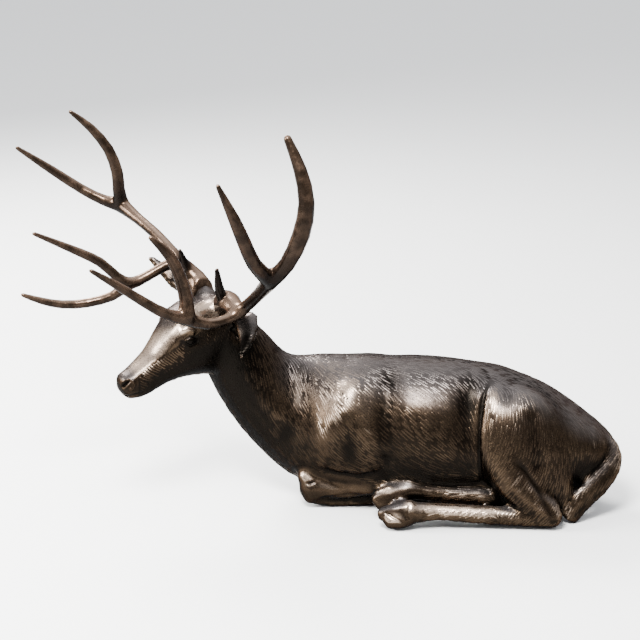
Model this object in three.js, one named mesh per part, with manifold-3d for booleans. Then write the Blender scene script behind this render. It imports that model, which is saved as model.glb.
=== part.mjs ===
// A recumbent stag in cast bronze: one body casting and two antlers seated on its skull.
// Millimetres, +Z up. The ground is z = 0, the head end is -X, and the stag's left side is -Y.
import * as THREE from "three";
import Module from "manifold-3d";

const wasm = await Module();
wasm.setup();

// Driving dimensions
const BRONZE = { color: 0x4a3a31, roughness: 0.42, metalness: 0.9 };
const HEAD_TURN = THREE.MathUtils.degToRad(40);
const CROWN = new THREE.Vector3(-572, -60, 555);
const JOINT_GAP = 0.4;
const PEDICLE = { root: [2, 16, -22], tip: [2, 62, 4], radii: [36, 27], seam: 57 };
const CUT_REACH = 1200;

// The trunk from the tail end forward. A form has the length of its two rounded ends, and stations with the
// place of a section's middle, then its half width and its height above and below.
const TRUNK = {
  ends: [20, 10],
  stations: [
    { at: [470, 0, 140], size: [46, 44, 62] },
    { at: [440, 0, 152], size: [86, 66, 120] },
    { at: [390, 0, 164], size: [122, 94, 165] },
    { at: [320, 0, 176], size: [146, 131, 190] },
    { at: [230, 0, 188], size: [158, 167, 205] },
    { at: [120, 0, 190], size: [168, 195, 210] },
    { at: [0, 0, 186], size: [174, 209, 208] },
    { at: [-110, 0, 186], size: [168, 210, 208] },
    { at: [-210, 0, 190], size: [152, 208, 210] },
    { at: [-300, 0, 206], size: [128, 189, 196] },
    { at: [-366, 0, 212], size: [92, 180, 150] },
    { at: [-420, -4, 214], size: [50, 174, 60] },
  ],
};

// The neck, from inside the chest up into the skull
const NECK = {
  ends: [30, 20],
  stations: [
    { at: [-250, 0, 172], size: [142, 96, 148] },
    { at: [-312, 0, 196], size: [141, 114, 154] },
    { at: [-386, -3, 246], size: [129, 112, 138] },
    { at: [-456, -13, 317], size: [108, 97, 122] },
    { at: [-512, -28, 395], size: [87, 92, 103] },
    { at: [-552, -48, 456], size: [68, 80, 86] },
  ],
};

// Muscle and bone under the hide: place along the trunk, degrees down from the spine, reach of each, height
const TRUNK_RELIEF = [
  { at: -236, around: 82, reach: 84, spread: 32, height: 28 },
  { at: -318, around: 112, reach: 56, spread: 26, height: 14 },
  { at: -104, around: 80, reach: 38, spread: 40, height: -15 },
  { at: 10, around: 92, reach: 88, spread: 44, height: 8 },
  { at: 112, around: 66, reach: 42, spread: 30, height: -15 },
  { at: 172, around: 36, reach: 36, spread: 13, height: 12 },
  { at: -372, around: 82, reach: 24, spread: 48, height: -9 },
];

// The head, in its own frame: forward, left and up from the crown
const HEAD = {
  ends: [26, 22],
  stations: [
    { at: [-74, 0, -62], size: [48, 38, 42] },
    { at: [-12, 0, -84], size: [66, 84, 102] },
    { at: [58, 0, -96], size: [72, 98, 108] },
    { at: [122, 0, -120], size: [68, 74, 80] },
    { at: [182, 0, -152], size: [53, 46, 54] },
    { at: [234, 0, -180], size: [43, 38, 48] },
    { at: [266, 0, -192], size: [39, 33, 37] },
  ],
};
const EYE = { at: [114, 58, -76], radius: 18 };
const HEAD_RELIEF = [
  { at: 108, around: 46, reach: 30, spread: 15, height: 7 },
  { at: 72, around: 34, reach: 32, spread: 20, height: 17 },
  { at: 146, around: 74, reach: 26, spread: 20, height: -7 },
  { at: 66, around: 104, reach: 44, spread: 30, height: 5 },
  { at: 214, around: 96, reach: 36, spread: 24, height: -4 },
];
const NOSTRIL = { rear: [267, 33, -178], front: [285, 24, -186], radius: 7 };

const EARS = [
  { path: [[-36, 46, -46], [-30, 110, -38], [-8, 152, -70], [32, 190, -106]], across: [-0.8, 0.1, 0.6] },
  { path: [[-26, -58, -36], [-18, -108, -18], [22, -172, 18], [64, -236, 66]], across: [-0.85, 0.1, 0.5] },
];
const EAR_SIZES = [[22, 16, 14], [35, 12, 10], [26, 9, 8], [7, 5, 5]];
const EAR_ENDS = [0, 8];
const EAR_CUP = { inset: 0.74, lift: 9, ends: [6, 4] };

// Limbs along their bones
const NEAR_THIGH = {
  ends: [20, 30],
  stations: [
    { at: [206, -88, 330], size: [62, 28, 28] },
    { at: [234, -116, 284], size: [104, 42, 42] },
    { at: [246, -136, 222], size: [112, 46, 46] },
    { at: [264, -142, 150], size: [112, 44, 44] },
    { at: [288, -142, 90], size: [100, 40, 40] },
    { at: [302, -136, 40], size: [80, 36, 36] },
  ],
};
const NEAR_GASKIN = {
  ends: [30, 18],
  stations: [
    { at: [232, -66, 304], size: [52, 30, 30] },
    { at: [198, -132, 238], size: [62, 42, 42] },
    { at: [206, -160, 160], size: [58, 42, 42] },
    { at: [262, -171, 86], size: [51, 40, 40] },
    { at: [322, -178, 42], size: [36, 32, 34] },
  ],
};
const NEAR_SHIN = {
  ends: [24, 10],
  stations: [
    { at: [330, -180, 36], size: [32, 32, 34] },
    { at: [250, -190, 33], size: [26, 26, 27] },
    { at: [130, -204, 39], size: [24, 24, 24] },
    { at: [30, -214, 45], size: [23, 23, 23] },
    { at: [-20, -222, 44], size: [28, 28, 29] },
    { at: [-56, -227, 40], size: [26, 26, 28] },
  ],
};
const FAR_SHIN = {
  ends: [10, 10],
  stations: [
    { at: [230, -122, 50], size: [32, 32, 32] },
    { at: [140, -148, 66], size: [25, 25, 25] },
    { at: [40, -156, 72], size: [24, 24, 24] },
    { at: [-18, -161, 80], size: [26, 26, 26] },
    { at: [-50, -165, 82], size: [29, 29, 30] },
    { at: [-82, -169, 74], size: [26, 26, 28] },
  ],
};
const FAR_HAUNCH = {
  ends: [30, 26],
  stations: [
    { at: [268, 50, 286], size: [62, 30, 30] },
    { at: [246, 104, 250], size: [96, 42, 42] },
    { at: [232, 130, 194], size: [110, 44, 44] },
    { at: [240, 136, 130], size: [112, 44, 44] },
    { at: [262, 134, 76], size: [104, 40, 40] },
    { at: [276, 128, 36], size: [86, 36, 36] },
  ],
};
const NEAR_ARM = {
  ends: [20, 24],
  stations: [
    { at: [-216, -98, 330], size: [44, 28, 28] },
    { at: [-204, -130, 264], size: [76, 40, 40] },
    { at: [-190, -145, 194], size: [98, 42, 42] },
    { at: [-186, -136, 134], size: [94, 34, 34] },
  ],
};
const FOREARM = {
  ends: [20, 40],
  stations: [
    { at: [-112, 108, 96], size: [48, 50, 50] },
    { at: [-214, 115, 60], size: [30, 29, 28] },
    { at: [-268, 112, 58], size: [31, 33, 31] },
    { at: [-304, 107, 58], size: [40, 49, 50] },
  ],
};
const KNEE_KNOB = { at: [-320, 108, 84], radius: 27 };
const CANNON = {
  ends: [22, 8],
  stations: [
    { at: [-312, 105, 36], size: [34, 28, 32] },
    { at: [-256, 100, 20], size: [21, 20, 20] },
    { at: [-160, 84, 20], size: [19, 20, 20] },
    { at: [-98, 70, 22], size: [24, 24, 24] },
    { at: [-56, 60, 22], size: [20, 22, 22] },
  ],
};
const CLAW = { ends: [10, 6], along: [0, 0.55, 1] };
const HIND_CLAWS = [
  { root: [-30, -226, 54], tip: [-116, -234, 38], radii: [28, 26, 17] },
  { root: [-36, -232, 34], tip: [-98, -242, 26], radii: [24, 28, 22] },
  { root: [-54, -164, 80], tip: [-138, -174, 54], radii: [30, 27, 16] },
  { root: [-56, -176, 62], tip: [-126, -184, 42], radii: [26, 21, 13] },
];
const FAR_FORELEG_SHIFT = 20;
const TAIL = {
  ends: [12, 10],
  stations: [
    { at: [432, -4, 200], size: [26, 24, 24] },
    { at: [470, -26, 172], size: [30, 22, 22] },
    { at: [474, -62, 134], size: [32, 18, 18] },
    { at: [442, -98, 92], size: [33, 16, 16] },
    { at: [399, -128, 54], size: [34, 17, 17] },
    { at: [375, -142, 16], size: [29, 15, 15] },
  ],
};

// Antlers in the head's frame, with the radius at each point: a bow from brow tine to beam on a short stem
const ANTLER_LEFT = {
  side: 1,
  stem: {
    ends: [0, 8],
    points: [[0, 44, 0], [10, 96, 10], [18, 152, 2]],
    radii: [28, 29, 17],
  },
  spike: {
    ends: [0, 4],
    points: [[26, 88, 24], [38, 92, 56], [46, 96, 106]],
    radii: [13, 11, 4],
  },
  bow: {
    ends: [5, 12],
    points: [
      [440, 178, 182], [368, 172, 132], [292, 166, 76], [232, 162, 36], [172, 160, 12], [112, 156, -12],
      [54, 152, -12], [18, 152, 2], [2, 180, 30], [18, 260, 80], [42, 350, 136],
    ],
    radii: [4, 9, 11.5, 13, 16, 13, 13, 16, 15, 15, 20],
  },
  browFork: {
    ends: [8, 5],
    points: [[172, 160, 12], [172, 158, 62], [186, 156, 120], [212, 152, 180], [260, 146, 232]],
    radii: [20, 17, 15, 13, 5],
  },
  topFront: {
    ends: [8, 5],
    points: [[42, 350, 136], [108, 384, 198], [144, 400, 258], [176, 408, 322], [216, 404, 406]],
    radii: [19, 17, 16, 13, 4],
  },
  topRear: {
    ends: [8, 5],
    points: [
      [42, 350, 136], [24, 400, 188], [10, 440, 266], [4, 456, 348], [14, 444, 428], [32, 416, 502],
    ],
    radii: [19, 19, 21, 19, 15, 8],
  },
};
const ANTLER_RIGHT = {
  side: -1,
  stem: {
    ends: [0, 8],
    points: [[0, 44, -6], [8, 90, 34], [38, 126, 80]],
    radii: [28, 26, 16],
  },
  spike: {
    ends: [0, 4],
    points: [[16, 92, 34], [28, 97, 66], [46, 100, 116]],
    radii: [13, 11, 4],
  },
  bow: {
    ends: [5, 12],
    points: [
      [422, 184, 194], [302, 176, 130], [246, 168, 96], [204, 162, 54], [168, 158, 28], [122, 150, 42],
      [70, 136, 68], [38, 126, 80], [48, 160, 110], [52, 230, 136], [60, 310, 160], [68, 384, 182],
    ],
    radii: [4, 10, 11.5, 12, 15, 12.5, 13, 15, 14, 13.5, 14, 20],
  },
  browFork: {
    ends: [8, 5],
    points: [
      [168, 158, 28], [206, 184, -6], [268, 210, -22], [332, 228, -20], [386, 240, -4], [432, 250, 16],
    ],
    radii: [14, 12, 11, 10, 8, 4],
  },
  topFront: {
    ends: [8, 5],
    points: [
      [68, 384, 182], [80, 376, 228], [86, 372, 280], [106, 380, 344], [148, 396, 404], [198, 412, 450],
    ],
    radii: [18, 16, 15, 13, 10, 4],
  },
  topRear: {
    ends: [8, 5],
    points: [[68, 384, 182], [104, 420, 194], [152, 456, 224], [224, 490, 280], [314, 510, 348]],
    radii: [18, 14, 12, 10.5, 4],
  },
};

// Sections per span and sides per section
const FINENESS = {
  trunk: { steps: 2, sides: 21, capRings: 2 },
  neck: { steps: 2, sides: 20, capRings: 1 },
  head: { steps: 2, sides: 18, capRings: 2 },
  limb: { steps: 2, sides: 10, capRings: 2 },
  small: { steps: 2, sides: 8, capRings: 1 },
  stem: { steps: 2, sides: 12, capRings: 2 },
  antler: { steps: 2, sides: 7, capRings: 1 },
};
const HEAD_SQUARENESS = 2.5;
const STEEP = 0.75;

const LEFT_SIDE = new THREE.Vector3(0, -1, 0);
const NEAR_ARM_ACROSS = new THREE.Vector3(-1, 0.04, 0);
const NEAR_HAUNCH_ACROSS = new THREE.Vector3(-1, -0.2, 0);
const FAR_HAUNCH_ACROSS = new THREE.Vector3(-1, 0.2, 0);
const TAIL_ACROSS = new THREE.Vector3(0.8, 0.5, 0.3);
const FORWARD = new THREE.Vector3(-Math.cos(HEAD_TURN), -Math.sin(HEAD_TURN), 0);
const LEFTWARD = new THREE.Vector3(Math.sin(HEAD_TURN), -Math.cos(HEAD_TURN), 0);
const UPWARD = new THREE.Vector3(0, 0, 1);

/** A direction given as forward, left and up of the head. */
function headDirection([forward, left, up]) {
  return new THREE.Vector3()
    .addScaledVector(FORWARD, forward)
    .addScaledVector(LEFTWARD, left)
    .addScaledVector(UPWARD, up);
}

/** A place given as forward, left and up from the crown. */
function headPoint(place) {
  return headDirection(place).add(CROWN);
}

/** A closed solid for joining and cutting, made from rings of equal length with a point at each end. */
function ringSolid(first, rings, last) {
  const sides = rings[0].length;
  const points = [first, ...rings.flat(), last];
  const end = points.length - 1;
  const at = (ring, k) => 1 + ring * sides + (k % sides);
  const faces = [];
  for (let k = 0; k < sides; k += 1) {
    faces.push(0, at(0, k + 1), at(0, k));
    faces.push(end, at(rings.length - 1, k), at(rings.length - 1, k + 1));
    for (let r = 0; r + 1 < rings.length; r += 1) {
      faces.push(at(r, k), at(r, k + 1), at(r + 1, k));
      faces.push(at(r, k + 1), at(r + 1, k + 1), at(r + 1, k));
    }
  }
  return toSolid(points.flatMap((p) => [p.x, p.y, p.z]), faces);
}

/** A solid from vertex coordinates and triangles. */
function toSolid(coordinates, faces) {
  return new wasm.Manifold(new wasm.Mesh({
    numProp: 3,
    vertProperties: new Float32Array(coordinates),
    triVerts: new Uint32Array(faces),
  }));
}

/** A sine or cosine reshaped so that an ellipse of power 2 grows squarer as the power grows. */
function flattened(value, power) {
  return Math.sign(value) * Math.abs(value) ** (2 / power);
}

/** A smooth curve through points. */
function smoothCurve(points) {
  return new THREE.CatmullRomCurve3(points, false, "catmullrom");
}

const noSwell = () => 0;

/**
 * A form swept along a smooth path as a solid. Each section is an ellipse with a half width and two heights.
 * The width lies along acrossHint, and swell gives extra height at a section's middle and angle.
 */
function sweep({ stations, ends }, acrossHint, fineness, { power = 2, swell = noSwell } = {}) {
  const { steps, sides, capRings } = fineness;
  const [startLength, endLength] = ends;
  const path = smoothCurve(stations.map(({ at }) => at));
  const sizes = smoothCurve(stations.map(({ size }) => new THREE.Vector3(...size)));
  const count = (stations.length - 1) * steps;

  const ringAt = (t, shift, scale) => {
    const along = path.getTangent(t);
    const middle = path.getPoint(t).addScaledVector(along, shift);
    const across = acrossHint.clone().addScaledVector(along, -acrossHint.dot(along)).normalize();
    const upward = along.clone().cross(across);
    const size = sizes.getPoint(t);
    return Array.from({ length: sides }, (_, k) => {
      const angle = (2 * Math.PI * k) / sides;
      const extra = swell(middle, angle) * scale;
      const wide = (size.x * scale + extra) * flattened(Math.cos(angle), power);
      const height = Math.sin(angle) > 0 ? size.y : size.z;
      const tall = (height * scale + extra) * flattened(Math.sin(angle), power);
      return middle.clone().addScaledVector(across, wide).addScaledVector(upward, tall);
    });
  };

  const rings = [];
  const cap = (t, length, sign, order) => order.forEach((i) => {
    const turn = (Math.PI / 2) * (i / (capRings + 1));
    rings.push(ringAt(t, sign * length * Math.cos(turn), Math.sin(turn)));
  });
  const inward = Array.from({ length: capRings }, (_, i) => i + 1);
  if (startLength > 0) cap(0, startLength, -1, inward);
  for (let i = 0; i <= count; i += 1) rings.push(ringAt(i / count, 0, 1));
  if (endLength > 0) cap(1, endLength, 1, inward.slice().reverse());
  const first = path.getPoint(0).addScaledVector(path.getTangent(0), -startLength);
  const last = path.getPoint(1).addScaledVector(path.getTangent(1), endLength);
  return ringSolid(first, rings, last);
}

/** A form with the places of its stations turned into vectors by place. */
function placed({ stations, ends }, place) {
  return { ends, stations: stations.map(({ at, size }) => ({ at: place(at), size })) };
}

const inBody = ([x, y, z]) => new THREE.Vector3(x, y, z);

/** The height of muscle and bone at a distance along a form and an angle round it, alike on both sides. */
function reliefHeight(swells, distance, angle) {
  const around = THREE.MathUtils.radToDeg(Math.acos(Math.sin(angle)));
  return swells.reduce((sum, { at, around: peak, reach, spread, height }) => {
    const along = (distance - at) / reach;
    const down = (around - peak) / spread;
    return sum + height * Math.exp(-along * along - down * down);
  }, 0);
}

const trunkRelief = (middle, angle) => reliefHeight(TRUNK_RELIEF, middle.x, angle);

/** The relief of the head, found by the distance forward of the crown. */
function headRelief(middle, angle) {
  return reliefHeight(HEAD_RELIEF, middle.clone().sub(CROWN).dot(FORWARD), angle);
}

/** A round tapering rod through points of the head's frame, on the given side of the head. */
function rod({ points, radii, ends = [0, 0] }, side, fineness) {
  const stations = points.map(([f, l, u], i) => ({
    at: headPoint([f, l * side, u]),
    size: [radii[i], radii[i], radii[i]],
  }));
  const along = stations.at(-1).at.clone().sub(stations[0].at).normalize();
  const hint = Math.abs(along.z) < STEEP ? UPWARD : FORWARD;
  return sweep({ stations, ends }, hint, fineness);
}

/** A round ball in the body's frame, made as a short sweep. */
function ball(middle, radius, fineness) {
  const stations = [-0.5, 0, 0.5].map((k) => {
    const size = radius * Math.sqrt(1 - k * k);
    return { at: middle.clone().addScaledVector(FORWARD, k * radius), size: [size, size, size] };
  });
  return sweep({ stations, ends: [radius / 2, radius / 2] }, UPWARD, fineness);
}

/** The skull with its eyes, antler seats, nostrils and ears. */
function makeHead() {
  const skull = { power: HEAD_SQUARENESS, swell: headRelief };
  let head = sweep(placed(HEAD, headPoint), LEFTWARD, FINENESS.head, skull);
  for (const side of [1, -1]) {
    const [f, l, u] = EYE.at;
    head = head.add(ball(headPoint([f, l * side, u]), EYE.radius, FINENESS.small));
    const seat = { points: [PEDICLE.root, PEDICLE.tip], radii: PEDICLE.radii };
    const pedicle = rod(seat, side, FINENESS.stem).subtract(beyond(PEDICLE.seam, side));
    head = head.add(pedicle);
    const { rear, front, radius } = NOSTRIL;
    const slit = { points: [rear, front], radii: [radius, radius], ends: [radius, radius] };
    head = head.subtract(rod(slit, side, FINENESS.small));
  }
  for (const ear of EARS) head = head.add(makeEar(ear));
  return head;
}

/** A leaf-shaped ear with a shallow cup in its face. */
function makeEar({ path, across }) {
  const stations = path.map((at, i) => ({ at: headPoint(at), size: EAR_SIZES[i] }));
  const hint = headDirection(across);
  const leaf = sweep({ stations, ends: EAR_ENDS }, hint, FINENESS.small);
  const along = stations[2].at.clone().sub(stations[1].at).normalize();
  const face = along.clone().cross(hint).normalize();
  const hollow = stations.slice(1).map(({ at, size }) => ({
    at: at.clone().addScaledVector(face, -EAR_CUP.lift),
    size: size.map((s) => s * EAR_CUP.inset),
  }));
  return leaf.subtract(sweep({ stations: hollow, ends: EAR_CUP.ends }, hint, FINENESS.small));
}

/** One claw of a cloven hoof, from the pastern to its tip. */
function makeClaw({ root, tip, radii }) {
  const stations = radii.map((radius, i) => ({
    at: inBody(root).lerp(inBody(tip), CLAW.along[i]),
    size: [radius, radius, radius],
  }));
  return sweep({ stations, ends: CLAW.ends }, LEFT_SIDE, FINENESS.small);
}

/** A foreleg folded at the knee, with the cannon lying back under the forearm. */
function makeForeleg(side) {
  const shift = side > 0 ? FAR_FORELEG_SHIFT : 0;
  const place = ([x, y, z]) => new THREE.Vector3(x + shift, y * side, z);
  const forearm = sweep(placed(FOREARM, place), LEFT_SIDE, FINENESS.limb);
  const cannon = sweep(placed(CANNON, place), LEFT_SIDE, FINENESS.limb);
  return forearm.add(cannon).add(ball(place(KNEE_KNOB.at), KNEE_KNOB.radius, FINENESS.limb));
}

/** The near upper arm, both hind legs, lying to the left, and the tail round the near buttock. */
function makeLimbs() {
  const forms = [
    [NEAR_ARM, NEAR_ARM_ACROSS],
    [NEAR_THIGH, NEAR_HAUNCH_ACROSS],
    [NEAR_GASKIN, NEAR_HAUNCH_ACROSS],
    [FAR_HAUNCH, FAR_HAUNCH_ACROSS],
    [NEAR_SHIN, LEFT_SIDE],
    [FAR_SHIN, LEFT_SIDE],
    [TAIL, TAIL_ACROSS],
  ];
  return forms.map(([form, across]) => sweep(placed(form, inBody), across, FINENESS.limb))
    .reduce((all, part) => all.add(part));
}

/** The whole body casting, cut flat where it lies on the ground. */
function makeBody() {
  const trunk = sweep(placed(TRUNK, inBody), LEFT_SIDE, FINENESS.trunk, { swell: trunkRelief });
  const neck = sweep(placed(NECK, inBody), LEFT_SIDE, FINENESS.neck);
  const legs = [makeLimbs(), makeForeleg(-1), makeForeleg(1), ...HIND_CLAWS.map(makeClaw)];
  const whole = [neck, makeHead(), ...legs].reduce((all, part) => all.add(part), trunk);
  const ground = block(inBody, [-CUT_REACH, -CUT_REACH, -CUT_REACH], [CUT_REACH, CUT_REACH, 0]);
  return whole.subtract(ground);
}

/** A block between two corners of a frame, as a solid. */
function block(place, low, high) {
  const corners = [[low[1], low[2]], [high[1], low[2]], [high[1], high[2]], [low[1], high[2]]];
  const rings = [low[0], high[0]].map((x) => corners.map(([y, z]) => place([x, y, z])));
  const middle = [(low[1] + high[1]) / 2, (low[2] + high[2]) / 2];
  const ends = [low[0], high[0]].map((x) => place([x, ...middle]));
  return ringSolid(ends[0], rings, ends[1]);
}

/** Everything on one side of the head beyond a distance from its middle plane. */
function beyond(distance, side) {
  const near = Math.min(distance * side, CUT_REACH * side);
  const far = Math.max(distance * side, CUT_REACH * side);
  return block(headPoint, [-CUT_REACH, near, -CUT_REACH], [CUT_REACH, far, CUT_REACH]);
}

/** One antler, cut on the plane of its seat with a hairline gap to the skull. */
function makeAntler({ side, stem, spike, bow, browFork, topFront, topRear }) {
  const thin = [spike, bow, browFork, topFront, topRear].map((part) => rod(part, side, FINENESS.antler));
  const whole = thin.reduce((all, part) => all.add(part), rod(stem, side, FINENESS.stem));
  return whole.intersect(beyond(PEDICLE.seam + JOINT_GAP, side));
}

/** A named mesh of a finished solid. */
function meshOf(name, solid) {
  const { numProp, vertProperties, triVerts } = solid.getMesh();
  const coordinates = new Float32Array((vertProperties.length / numProp) * 3);
  for (let i = 0; i < coordinates.length; i += 1) {
    coordinates[i] = vertProperties[Math.floor(i / 3) * numProp + (i % 3)];
  }
  const geometry = new THREE.BufferGeometry();
  geometry.setAttribute("position", new THREE.BufferAttribute(coordinates, 3));
  geometry.setIndex(new THREE.BufferAttribute(new Uint32Array(triVerts), 1));
  geometry.computeVertexNormals();
  const mesh = new THREE.Mesh(geometry, new THREE.MeshStandardMaterial(BRONZE));
  mesh.name = name;
  return mesh;
}

const stag = new THREE.Group();
stag.add(meshOf("stag_body", makeBody()));
stag.add(meshOf("antler_left", makeAntler(ANTLER_LEFT)));
stag.add(meshOf("antler_right", makeAntler(ANTLER_RIGHT)));

export default stag;
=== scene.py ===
"""A recumbent stag in cast bronze, dressed over its solids.

The solids give the form. Each casting is a fine skin taken from its solid and worked like wax: smoothed,
pressed and creased, then given a patina that is dark in the hollows and wears to copper on the ridges, with
painted highlights, painted shade and a painted sky sheen laid into its colour.
Coats of combed strokes lie over it. Metres, +Z up. The head is towards -X and the left side towards -Y.
"""

import logging
import math
from collections import deque
from dataclasses import KW_ONLY, dataclass, replace
from enum import Enum
from itertools import product
from typing import Callable, NamedTuple, Sequence

import bpy
import numpy as np
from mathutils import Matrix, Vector
from mathutils.bvhtree import BVHTree


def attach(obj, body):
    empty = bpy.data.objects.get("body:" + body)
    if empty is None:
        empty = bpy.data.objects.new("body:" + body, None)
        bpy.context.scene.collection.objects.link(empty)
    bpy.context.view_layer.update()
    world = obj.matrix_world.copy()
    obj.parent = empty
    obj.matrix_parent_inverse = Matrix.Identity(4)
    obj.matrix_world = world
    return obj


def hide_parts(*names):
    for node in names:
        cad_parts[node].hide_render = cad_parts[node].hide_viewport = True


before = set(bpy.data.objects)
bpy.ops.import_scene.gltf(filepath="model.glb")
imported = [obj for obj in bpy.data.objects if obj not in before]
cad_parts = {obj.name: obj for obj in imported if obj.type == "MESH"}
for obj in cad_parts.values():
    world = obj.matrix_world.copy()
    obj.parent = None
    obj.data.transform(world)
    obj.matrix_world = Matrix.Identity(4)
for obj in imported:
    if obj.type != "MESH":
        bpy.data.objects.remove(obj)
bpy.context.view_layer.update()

LOG = logging.getLogger("stag")
BODY = "root"
Point = tuple[float, float, float]
Colour = tuple[float, float, float, float]
Span = tuple[float, float]
Region = Callable[[np.ndarray], np.ndarray]
Input = float | Colour | bpy.types.NodeSocket
Taken = dict[tuple[int, int, int], list[Vector]]

# Values kept at each point of a mesh: relief, with painted highlights and painted shade added, and sky for
# the patina, and the tone that a coat takes up
RELIEF_AND_PAINTED_LIGHT = "relief"
SKY = "sky"
TONE = "tone"


class Slot(Enum):
    """The material slots of the record, named on each casting and coat."""

    BRONZE = "bronze"
    ANTLER = "antler_bronze"


def add_node(tree: bpy.types.NodeTree, kind: str, output: int | str, inputs: dict[int | str, Input],
             **settings: str) -> bpy.types.NodeSocket:
    """Adds a node to a shader.

    Args:
        tree: The shader's node tree.
        kind: The node's kind.
        output: Which of its outputs is wanted.
        inputs: The value or socket that each input takes.
        settings: The node's own settings.

    Returns:
        The output.
    """
    node = tree.nodes.new(kind)
    for name, choice in settings.items():
        setattr(node, name, choice)
    for name, value in inputs.items():
        if isinstance(value, bpy.types.NodeSocket):
            tree.links.new(value, node.inputs[name])
        else:
            node.inputs[name].default_value = value
    return node.outputs[output]


def remap(tree: bpy.types.NodeTree, value: bpy.types.NodeSocket, source: Span,
          target: Span) -> bpy.types.NodeSocket:
    """Spreads a value from one range over another, held at both ends."""
    inputs = {"Value": value, **dict(zip(("From Min", "From Max", "To Min", "To Max"), (*source, *target)))}
    return add_node(tree, "ShaderNodeMapRange", "Result", inputs, interpolation_type="SMOOTHSTEP")


@dataclass(frozen=True)
class Patina:
    """A bronze finish: dark patina in hollows, darker still where it faces down as sheltered patina and
    painted shade, pale tops from weather bleaching and a painted sky sheen, copper from wear on ridges and
    at painted highlights.
    """

    # Ranges of relief, noise and facing that the colours are spread over
    LOW = (-0.75, 0.05)
    HIGH = (0.1, 0.9)
    CLOUDS = (0.38, 0.68)
    GRAINS = (0.3, 0.7)
    # How far a surface faces up, and the share of the pale colour it takes: weather bleaching and a painted
    # sky sheen
    BLEACH_AND_SHEEN_FACING = (0.4, 1.0)
    BLEACH_AND_SHEEN_SHARE = (0.0, 0.75)
    CLOUD_DETAIL = 6.0
    GRAIN_DETAIL = 3.0
    GRAIN_STRENGTH = 0.3
    # Sockets of the mix node that carry colours, by number since others have the same names
    FIRST, SECOND, MIXED = 6, 7, 2

    name: str
    # Dark patina of the hollows, also laid as painted shade; copper of wear, also laid as painted
    # highlights
    hollow_and_shade: Colour
    hide: Colour
    wear_and_highlight: Colour
    bloom: Colour
    roughness: Span
    blotch_scale: float = 9.0
    grain_scale: float = 260.0
    grain_depth: float = 0.0004
    # Pale of weather-bleached tops, also a painted sky sheen
    bleached_and_sheen: Colour = (0.118, 0.107, 0.104, 1)
    edge: Colour = (0.31, 0.265, 0.24, 1)
    metal: float = 0.9
    sheen_of_lacquer: float = 0.25

    def material(self) -> bpy.types.Material:
        """Makes the shader.

        Returns:
            The finished material.
        """
        material = bpy.data.materials.new(self.name)
        material.use_nodes = True
        tree = material.node_tree
        shader = tree.nodes["Principled BSDF"]
        shader.inputs["Specular IOR Level"].default_value = self.sheen_of_lacquer
        shader.inputs["Specular Tint"].default_value = self.edge
        coordinates = tree.nodes.new("ShaderNodeTexCoord").outputs["Object"]
        relief, sky = (add_node(tree, "ShaderNodeAttribute", "Fac", {}, attribute_name=name)
                       for name in (RELIEF_AND_PAINTED_LIGHT, SKY))
        blotch = self._noise(tree, coordinates, self.blotch_scale, self.CLOUD_DETAIL)
        grain = self._noise(tree, coordinates, self.grain_scale, self.GRAIN_DETAIL)

        # Low relief takes the dark patina of hollows and painted shade; high relief takes copper wear and
        # painted highlights
        hollow_and_shade_share = remap(tree, relief, self.LOW, (1.0, 0.0))
        height = remap(tree, relief, self.HIGH, (0.0, 1.0))
        cloud = remap(tree, blotch, self.CLOUDS, (0.0, 1.0))
        base = self._mix(tree, cloud, self.hide, self.bloom)
        # Up-facing tops turn pale: weather bleaching and a painted sky sheen
        bleach_and_sheen_share = remap(tree, sky, self.BLEACH_AND_SHEEN_FACING, self.BLEACH_AND_SHEEN_SHARE)
        bleached_and_sheen = self._mix(tree, bleach_and_sheen_share, base, self.bleached_and_sheen)
        wear_and_painted_light = self._mix(tree, height, bleached_and_sheen, self.wear_and_highlight)
        patina_and_painted_light = self._mix(tree, hollow_and_shade_share, wear_and_painted_light, self.hollow_and_shade)
        bare = remap(tree, relief, self.HIGH, (self.metal, 1.0))
        gloss = remap(tree, grain, self.GRAINS, self.roughness)
        bump = {"Strength": self.GRAIN_STRENGTH, "Distance": self.grain_depth, "Height": grain}
        normal = add_node(tree, "ShaderNodeBump", "Normal", bump)
        sockets = {"Base Color": patina_and_painted_light, "Metallic": bare, "Roughness": gloss, "Normal": normal}
        for name, value in sockets.items():
            tree.links.new(value, shader.inputs[name])
        return material

    @staticmethod
    def _noise(tree: bpy.types.NodeTree, at: bpy.types.NodeSocket, scale: float,
               detail: float) -> bpy.types.NodeSocket:
        """Adds a noise pattern, by its repeats per metre and its number of finer layers."""
        return add_node(tree, "ShaderNodeTexNoise", "Fac", {"Vector": at, "Scale": scale, "Detail": detail})

    def _mix(self, tree: bpy.types.NodeTree, share: bpy.types.NodeSocket, first: Input,
             second: Input) -> bpy.types.NodeSocket:
        """Mixes two colours, with a share of the second."""
        inputs = {"Factor": share, self.FIRST: first, self.SECOND: second}
        return add_node(tree, "ShaderNodeMix", self.MIXED, inputs, data_type="RGBA")


HIDE_BRONZE = Patina("hide bronze", hollow_and_shade=(0.003, 0.0025, 0.002, 1), hide=(0.022, 0.0146, 0.0094, 1),
                     wear_and_highlight=(0.44, 0.335, 0.255, 1), bloom=(0.043, 0.0288, 0.018, 1), roughness=(0.24, 0.36))
# On the antlers the up-facing tops take a painted copper highlight
ANTLER_BRONZE = Patina("antler bronze", hollow_and_shade=(0.004, 0.003, 0.0025, 1), hide=(0.029, 0.0185, 0.012, 1),
                       wear_and_highlight=(0.34, 0.22, 0.16, 1), bloom=(0.09, 0.057, 0.038, 1), roughness=(0.18, 0.3),
                       blotch_scale=34.0, bleached_and_sheen=(0.23, 0.16, 0.12, 1), metal=0.8)


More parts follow.
